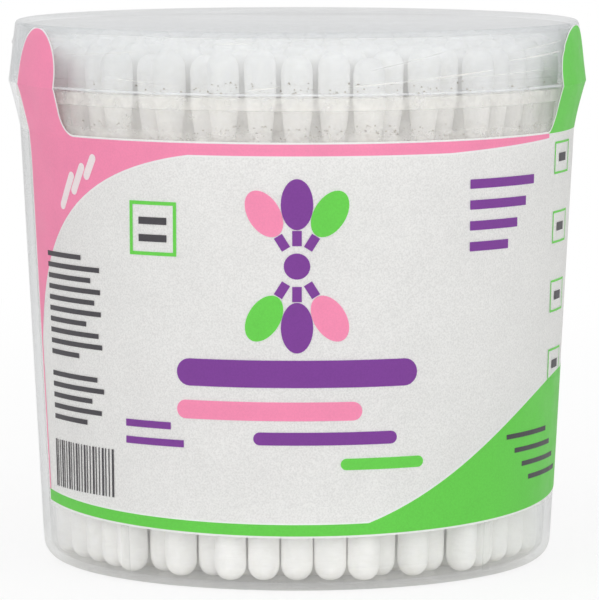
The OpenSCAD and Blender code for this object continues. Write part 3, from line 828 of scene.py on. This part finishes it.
# The main motif: a fan of three swabs that cross at a knot
FAN_Z = 45.5
FAN_TURNS = (32, 0, -32)
FAN_STICK_L, FAN_STICK_W = 17.0, 1.3
FAN_HEAD_L, FAN_HEAD_W = 7.0, 4.4
FAN_HUB, FAN_GAP, FAN_KNOT = 2.8, 0.1, 3.6


def on_fan(turn, distance, points):
    """A shape at each end of one swab of the fan, this far from its middle."""
    t = math.radians(turn)
    return [around(-end * distance * math.sin(t), FAN_Z + end * distance * math.cos(t), turn, points)
            for end in (-1, 1)]


def fan_heads(turn):
    return on_fan(turn, FAN_STICK_L / 2, oval(FAN_HEAD_W, FAN_HEAD_L))


def fan_sticks():
    length = (FAN_STICK_L - FAN_HEAD_L) / 2 - FAN_HUB - FAN_GAP
    shapes = []
    for turn in FAN_TURNS:
        shapes += on_fan(turn, FAN_HUB + length / 2, box(FAN_STICK_W, length))
    return shapes


# Four small frames under each other at the right, each with a mark in its middle
SIDE_BOXES = 4
SIDE_S, SIDE_Z, SIDE_PITCH = 45.6, 56.3, 9.9
SIDE_W, SIDE_H, SIDE_T = 6.8, 4.6, 0.3
SIDE_MARK_W, SIDE_MARK_H = 3.2, 1.2
# A larger frame at the left with two marks in it
BIG_S, BIG_Z, BIG_W, BIG_T = -24.5, 46.5, 7.5, 0.5
BIG_MARK_W, BIG_MARK_H, BIG_MARK_Z, BIG_MARK_PITCH = 4.5, 1, 48.4, 2.4
# Lines of small print, with their lengths as shares of the longest. A 0 leaves a gap.
LINE_SHARES = (0.7, 1, 0.85, 1, 0.9, 1, 0.75, 0.95, 1, 0.6, 0, 0.9, 1, 0.8, 0.95, 0.7)
LINE_S, LINE_Z, LINE_W, LINE_T = -43.4, 45, 13, 0.7
LINE_PITCH, LINE_SHIFT = 1.55, 0.06
# Upright stripes below them, every third one broad
STRIPES = 22
STRIPE_S, STRIPE_Z, STRIPE_H, STRIPE_PITCH = -42.6, 12, 6.8, 0.68
STRIPE_W, STRIPE_BROAD = 0.22, 0.4
# Slanted strokes on the pink corner, each one shorter than the one before
STROKES = 3
STROKE_S, STROKE_Z, STROKE_TURN = -37.2, 54.6, 62
STROKE_STEP_S, STROKE_STEP_Z = 2.6, 1.8
STROKE_L, STROKE_T = 6, 1.3


def purple_shapes():
    shapes = fan_heads(FAN_TURNS[1]) + fan_sticks() + [around(0, FAN_Z, 0, oval(FAN_KNOT, FAN_KNOT))]
    shapes.append(around(s=0, z=30.6, turn=0, points=pill(w=34, h=3.8)))
    shapes.append(around(s=4, z=21.6, turn=0, points=pill(w=20, h=1.8)))
    shapes += bars(4, s=25.5, w=13.5, z=55.5, h=1.3, drop=2.9, shorter=2)
    shapes += bars(2, s=-25.5, w=7.5, z=22.4, h=1, drop=2.4, shorter=-2)
    return shapes


def pink_shapes():
    return fan_heads(FAN_TURNS[0]) + [around(s=-4, z=25.4, turn=0, points=pill(w=26, h=2.6))]


def green_shapes():
    shapes = fan_heads(FAN_TURNS[2]) + [around(s=12, z=18, turn=0, points=pill(w=12, h=1.6))]
    for i in range(SIDE_BOXES):
        shapes += frame_box(SIDE_S, SIDE_Z - i * SIDE_PITCH, SIDE_W, SIDE_H, SIDE_T)
    return shapes + frame_box(BIG_S, BIG_Z, BIG_W, BIG_W, BIG_T)


def dark_shapes():
    shapes = [bar(LINE_S + i * LINE_SHIFT, LINE_W * share, LINE_Z - i * LINE_PITCH, LINE_T)
              for i, share in enumerate(LINE_SHARES) if share]
    shapes += [bar(STRIPE_S + i * STRIPE_PITCH, STRIPE_W if i % 3 else STRIPE_BROAD, STRIPE_Z, STRIPE_H)
               for i in range(STRIPES)]
    shapes += bars(SIDE_BOXES, s=SIDE_S + (SIDE_W - SIDE_MARK_W) / 2, w=SIDE_MARK_W,
                   z=SIDE_Z + (SIDE_H - SIDE_MARK_H) / 2, h=SIDE_MARK_H, drop=SIDE_PITCH)
    shapes += bars(4, s=33.5, w=12, z=19.6, h=LINE_T, drop=2.1, shift=2)
    shapes += bars(2, s=BIG_S + (BIG_W - BIG_MARK_W) / 2, w=BIG_MARK_W,
                   z=BIG_MARK_Z, h=BIG_MARK_H, drop=-BIG_MARK_PITCH)
    return shapes


def white_shapes():
    return [around(STROKE_S + STROKE_STEP_S * i, STROKE_Z + STROKE_STEP_Z * i, STROKE_TURN,
                   pill(STROKE_L - i, STROKE_T)) for i in range(STROKES)]


def build_label():
    sheet("label_ground", [ground_outline()], GROUND_OFF, GROUND, "tub", "print_ground", "label_panel")
    edges = [grown(outline, BORDER) for outline in (pink_outline(), green_outline(), green_foot())]
    sheet("label_edges", edges, EDGE_OFF, WHITE_INK, "tub", "print_ground")
    greens = [green_outline(), green_foot()]
    sheet("label_pink_field", [pink_outline()], FIELD_OFF, PINK, "tub", "print_pink", "label_pink")
    sheet("label_green_field", greens, FIELD_OFF, GREEN, "tub", "print_green", "label_green")
    for name, azimuth, half, ink in (
        ("pink", PINK_EAR_AZ, PINK_EAR_HALF, PINK),
        ("green", GREEN_EAR_AZ, GREEN_EAR_HALF, GREEN),
    ):
        tongue = ear(azimuth, half, LID_LOW)
        rim = grown(tongue, BORDER, LID_LOW, SKIRT_TOP_H)
        sheet(f"ear_{name}_edge", [rim], EDGE_OFF, WHITE_INK, "lid", "print_ground")
        sheet(f"ear_{name}_field", [tongue], FIELD_OFF, ink, "lid", f"print_{name}", f"ear_{name}")
    sheet("print_purple_shapes", purple_shapes(), PRINT_OFF, PURPLE, "tub", "print_purple", "print_purple")
    sheet("print_pink_shapes", pink_shapes(), PRINT_OFF, PINK, "tub", "print_pink", "print_pink")
    sheet("print_green_shapes", green_shapes(), PRINT_OFF, GREEN, "tub", "print_green", "print_green")
    sheet("print_dark_shapes", dark_shapes(), PRINT_OFF, DARK, "tub", "print_dark", "print_dark")
    sheet("print_white_shapes", white_shapes(), PRINT_OFF, WHITE_INK, "tub", "print_ground", "print_white")


# Swabs, in the same close packing as the part: each place is (i, j) on a triangular grid. PACK_NORM limits
# how far out a place can be, and from ring OUTSIDE on the places form a front and a back group.
HEAD_L = 14.5 * MM
HEAD_BELLY = 5.4 * MM
HEAD_DOME = 2.7 * MM
HEAD_END_R = 1.42 * MM
HEAD_GAP = 0.08 * MM
PACK_GAP = 0.1 * MM
LEAN = 0.16 * MM
SWAB_SHORT = 1.3 * MM
SWAB_ROOM = 1.55 * MM
STAND_GAP = 0.05 * MM
SWAB_L = RIM_H - FLOOR_T - STAND_GAP - SWAB_ROOM
PACK_NORM = 52
GRID_MAX = 8
OUTSIDE = 7
REACH = math.sqrt(PACK_NORM)
LOW_ROOM = wall_r(HEAD_BELLY) - WALL - RIB_IN - PACK_GAP
TOP_ROOM = NECK_IN - LEAN - PACK_GAP
HEAD_R = (min(LOW_ROOM, TOP_ROOM) - HEAD_GAP * REACH) / (1 + 2 * REACH)
LOW_PITCH = (LOW_ROOM - HEAD_R) / REACH
TOP_PITCH = (TOP_ROOM - HEAD_R) / REACH


def odd(i, j, kind):
    """A fixed number from 0 to 1 for each swab, different for each kind, as in the part."""
    v = math.sin(math.radians(127.1 * i + 311.7 * j + 74.7 * kind)) * 4375.85
    return v - math.floor(v)


def swab_places():
    reach = range(-GRID_MAX, GRID_MAX + 1)
    return [(i, j) for j in reach for i in reach if i * i + i * j + j * j <= PACK_NORM]


def group_of(place):
    i, j = place
    ring = max(abs(i), abs(j), abs(i + j))
    if ring < OUTSIDE:
        return f"ring_{ring}"
    return "front" if j < 0 else "back"


def swab_line(place):
    """Foot of the swab, the direction it leans in, and its length."""
    i, j = place
    spot = Vector((i + j / 2, j * math.sqrt(3) / 2))
    turn, lean = 2 * math.pi * odd(i, j, 1), LEAN * odd(i, j, 2)
    foot = Vector((*(spot * LOW_PITCH), FLOOR_T + STAND_GAP))
    head = Vector((*(spot * TOP_PITCH + Vector((lean * math.cos(turn), lean * math.sin(turn)))), RIM_H))
    return foot, (head - foot).normalized(), SWAB_L - SWAB_SHORT * odd(i, j, 3) ** 2


# Rings and sides of a cotton head, how much its rings crowd to the tip, and the powers that shape its dome
HEAD_RINGS, HEAD_SIDES = 22, 22
RING_CROWD = 1.7
DOME_BLUNT, DOME_RISE = 2.5, 0.42
# How fat a head is and how high its belly lies: the least share of the full size, and how much is added
FAT_LEAST, FAT_SPREAD = 0.95, 0.05
BELLY_LEAST, BELLY_SPREAD = 0.75, 0.4
# Lumps: how far they stand out, how long they are, how busy they are round the head, and from which radius
# they are full
LUMP_OUT, LUMP_L, LUMP_ROUND, LUMP_FULL_R = 0.09 * MM, 2.2 * MM, 1.4, 1.6 * MM
# Finer lumps among them are this much busier, and the two shares say how much each kind counts
FINE_LUMPS = 2.7
WIDE_SHARE, FINE_SHARE = 0.6, 0.4
LUMP_SEED = (3.1, 2.7, 5.3)
TIP_IN = 0.02 * MM


def head_profile(fat, belly):
    """Radius and distance from the tip of each ring of a cotton head."""
    rows = []
    r_max = HEAD_R * fat
    for k in range(1, HEAD_RINGS + 1):
        along = HEAD_L * (k / HEAD_RINGS) ** RING_CROWD
        dome = (1 - max(0.0, 1 - along / HEAD_DOME) ** DOME_BLUNT) ** DOME_RISE
        taper = max(0.0, along - belly) / (HEAD_L - belly)
        rows.append((r_max * dome + (HEAD_END_R - r_max) * taper * taper * (3 - 2 * taper), along))
    return rows


def head_mesh(tip, axis, place, kind, verts, faces):
    """Adds one cotton head whose tip is at tip and whose stick runs along axis.

    kind is 0 for a low head and 1 for a top one.
    """
    side = axis.orthogonal().normalized()
    other = axis.cross(side)
    i, j = place
    fat = FAT_LEAST + FAT_SPREAD * odd(i, j, kind + 4)
    belly = HEAD_BELLY * (BELLY_LEAST + BELLY_SPREAD * odd(i, j, kind + 5))
    seed = Vector([number * step for number, step in zip((i, j, kind), LUMP_SEED)])
    start = len(verts)
    verts.append(tip + axis * TIP_IN)
    rows = []
    for r, along in head_profile(fat, belly):
        rows.append([len(verts) + k for k in range(HEAD_SIDES)])
        for k in range(HEAD_SIDES):
            a = 2 * math.pi * k / HEAD_SIDES
            out = side * math.cos(a) + other * math.sin(a)
            where = seed + out * LUMP_ROUND + axis * (along / LUMP_L)
            lump = noise.noise(where) * WIDE_SHARE + noise.noise(where * FINE_LUMPS) * FINE_SHARE
            swell = min(1.0, r / LUMP_FULL_R)
            verts.append(tip + axis * along + out * (r + LUMP_OUT * lump * swell))
    faces += [(start, rows[0][(k + 1) % HEAD_SIDES], rows[0][k]) for k in range(HEAD_SIDES)]
    faces += strips(rows)
    faces.append(tuple(rows[-1]))


def build_swabs():
    groups = {}
    for place in swab_places():
        groups.setdefault(group_of(place), []).append(place)
    for group, places in groups.items():
        for kind, name in enumerate(("low", "top")):
            verts, faces = [], []
            for place in places:
                foot, axis, length = swab_line(place)
                if name == "top":
                    head_mesh(foot + axis * length, -axis, place, kind, verts, faces)
                else:
                    head_mesh(foot, axis, place, kind, verts, faces)
            piece = new_object(f"cotton_{name}_{group}", verts, faces, COTTON)
            stands_for(piece, "tub", "cotton", f"heads_{name}_{group}")
        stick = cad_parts[f"sticks_{group}"]
        stick.data.materials.clear()
        stick.data.materials.append(PAPER)


# Bands of dust: name, body, number of crumbs, lowest and highest of them, and how far off the wall they lie
DUST_BANDS = [
    ("dust_lid", "lid", 110, 69.0 * MM, 70.6 * MM, 0.1 * MM),
    ("dust_tub", "tub", 300, 62.3 * MM, 64.6 * MM, 0.06 * MM),
]
DUST_SEED = 11
# Azimuths where dust gathers, each with its spread, and the stretch that has a thin scatter
DUST_SWARMS = ((-14, 5), (4, 6), (24, 8))
DUST_SCATTER = (-60, 70)
# Dust sinks: a higher power brings more of it to the bottom of its band
DUST_SINK = 1.6
FLAKE_SIZES = (0.1 * MM, 0.36 * MM)
FLAKE_UNEVEN = (0.4, 1.0)
FLAKE_CORNERS = ((1, 0, -0.4), (-0.6, 0.8, -0.4), (-0.5, -0.9, -0.3), (0, 0, 0.7))
FLAKE_FACES = ((0, 1, 2), (0, 3, 1), (1, 3, 2), (2, 3, 0))


def flake(rng, centre, size, verts, faces):
    """A crumb of dust: an uneven four-sided chip."""
    start = len(verts)
    for corner in FLAKE_CORNERS:
        verts.append(Vector(centre) + Vector([c * size * rng.uniform(*FLAKE_UNEVEN) for c in corner]))
    faces += [tuple(start + corner for corner in face) for face in FLAKE_FACES]


def build_dust():
    """Crumbs on the lid's lower lip, and on the tub's inner wall above the label, as the photo shows."""
    rng = random.Random(DUST_SEED)
    for name, body, count, low, high, inside in DUST_BANDS:
        verts, faces = [], []
        for n in range(count):
            gathered = [rng.gauss(*swarm) for swarm in DUST_SWARMS]
            azimuth = rng.choice(gathered + [rng.uniform(*DUST_SCATTER)])
            z = low + (high - low) * rng.random() ** DUST_SINK
            inner_r = skirt_r(z) - SKIRT_T if body == "lid" else wall_r(z) - WALL
            r = inner_r - inside
            a = math.radians(azimuth)
            flake(rng, (r * math.sin(a), -r * math.cos(a), z), rng.uniform(*FLAKE_SIZES), verts, faces)
        stands_for(new_object(name, verts, faces, DUST), body, "clear_plastic")


# Stage. What the camera sees of the floor is mixed with plain white: NEAR_GLOW of it is white up to
# SHADOW_NEAR from the axis, and all of it from SHADOW_FAR on.
FLOOR_HALF = 6.0
FLOOR_DROP = 0.05 * MM
SHADOW_NEAR = 0.06
SHADOW_FAR = 0.35
NEAR_GLOW = 0.8


def floor_material():
    """Matt pale floor. The camera sees it run out to plain white round the object's shadow."""
    m = Nodes("floor_white")
    seen = m.add("ShaderNodeLightPath")
    looks = m.math("MAXIMUM", seen.outputs["Is Camera Ray"], seen.outputs["Is Transmission Ray"])
    away = m.add("ShaderNodeVectorMath")
    away.operation = "LENGTH"
    m.feed(away.inputs[0], m.place)
    white = m.map(away.outputs["Value"], NEAR_GLOW, 1.0, SHADOW_NEAR, SHADOW_FAR)
    tone = m.ramp(m.noise(30.0), (0.90, 0.90, 0.90), (0.92, 0.92, 0.92))
    matt = m.add("ShaderNodeBsdfDiffuse", Color=tone).outputs[0]
    glow = m.add("ShaderNodeEmission", Strength=1.0).outputs[0]
    return m.finish(m.mix(m.math("MULTIPLY", looks, white), matt, glow))


def build_stage():
    corners = [(-1, -1), (1, -1), (1, 1), (-1, 1)]
    verts = [(FLOOR_HALF * x, FLOOR_HALF * y, 0) for x, y in corners]
    floor = new_object("floor", verts, [(0, 1, 2, 3)], floor_material())
    floor.location.z = -FLOOR_DROP


# Light. The camera sees the world as plain white, and everything else is lit by it at this strength.
WORLD_LIGHT = 0.80


def build_world():
    world = bpy.data.worlds.new("studio")
    world.use_nodes = True
    tree = world.node_tree
    tree.nodes.clear()
    out = tree.nodes.new("ShaderNodeOutputWorld")
    seen = tree.nodes.new("ShaderNodeLightPath")
    light, white = tree.nodes.new("ShaderNodeBackground"), tree.nodes.new("ShaderNodeBackground")
    light.inputs["Strength"].default_value = WORLD_LIGHT
    light.inputs["Color"].default_value = (1.0, 1.0, 1.0, 1.0)
    white.inputs["Color"].default_value = (1.0, 1.0, 1.0, 1.0)
    either, mix = tree.nodes.new("ShaderNodeMath"), tree.nodes.new("ShaderNodeMixShader")
    either.operation = "MAXIMUM"
    tree.links.new(seen.outputs["Is Camera Ray"], either.inputs[0])
    tree.links.new(seen.outputs["Is Transmission Ray"], either.inputs[1])
    tree.links.new(either.outputs[0], mix.inputs[0])
    tree.links.new(light.outputs[0], mix.inputs[1])
    tree.links.new(white.outputs[0], mix.inputs[2])
    tree.links.new(mix.outputs[0], out.inputs["Surface"])
    bpy.context.scene.world = world


def softbox(name, azimuth, elevation, distance, width, height, power):
    data = bpy.data.lights.new(name, "AREA")
    data.shape = "RECTANGLE"
    data.size, data.size_y, data.energy = width, height, power
    lamp = bpy.data.objects.new(name, data)
    lamp.visible_glossy = False
    a, e = math.radians(azimuth), math.radians(elevation)
    aim = Vector((0, 0, TOTAL_H / 2))
    away = Vector((math.sin(a) * math.cos(e), -math.cos(a) * math.cos(e), math.sin(e)))
    lamp.location = aim + away * distance
    lamp.rotation_euler = (-away).to_track_quat("-Z", "Y").to_euler()
    bpy.context.scene.collection.objects.link(lamp)


def build_lights():
    softbox("softbox_left", azimuth=-38, elevation=14, distance=0.75, width=0.7, height=0.6, power=1.75)
    softbox("softbox_right", azimuth=40, elevation=14, distance=0.75, width=0.6, height=0.6, power=1.7)
    softbox("softbox_top", azimuth=0, elevation=80, distance=0.8, width=0.7, height=0.7, power=0.5)


# Camera, at the photo's viewing angle. The focal length and the offset are in pixels of the picture, whose
# longer side is PICTURE_PX.
CAMERA_BACK = 0.67799
CAMERA_UP = 0.10842
CAMERA_PITCH = 6.0306
FOCAL_PX = 4712.25
PICTURE_PX = 600
AXIS_LEFT_PX = 2.5
SENSOR_MM = 36.0


def build_camera():
    data = bpy.data.cameras.new("camera")
    data.sensor_width = SENSOR_MM
    data.lens = FOCAL_PX / PICTURE_PX * SENSOR_MM
    data.shift_x = AXIS_LEFT_PX / PICTURE_PX
    camera = bpy.data.objects.new("camera", data)
    camera.location = (0, -CAMERA_BACK, CAMERA_UP)
    camera.rotation_euler = (math.radians(90 - CAMERA_PITCH), 0, 0)
    bpy.context.scene.collection.objects.link(camera)
    bpy.context.scene.camera = camera


build_camera()
build_tub()
build_lid()
film_band("film_sleeve_skin", FILM_LOW, FILM_BRIDGE, steps=1, body="tub", node="film_sleeve")
film_band("film_bridge_skin", FILM_BRIDGE, SLEEVE_TOP, steps=14, body="tub", node="film_sleeve")
film_band("film_cap_skin", LID_LOW, SKIRT_TOP_H, steps=48, body="lid", node="film_cap")
# The creases' glints are painted: milky white lines laid along them.
crease_highlights = [crease_highlight(*crease) for crease in CREASES]
sheet("film_crease_highlights", crease_highlights, EDGE_OFF, CREASE_HIGHLIGHT, "lid", "film")
build_label()
build_swabs()
build_dust()
build_stage()
build_world()
build_lights()
bpy.context.scene.view_settings.view_transform = "Standard"
bpy.context.scene.cycles.transparent_max_bounces = 32
bpy.context.scene.cycles.diffuse_bounces = 10

bpy.context.view_layer.update()
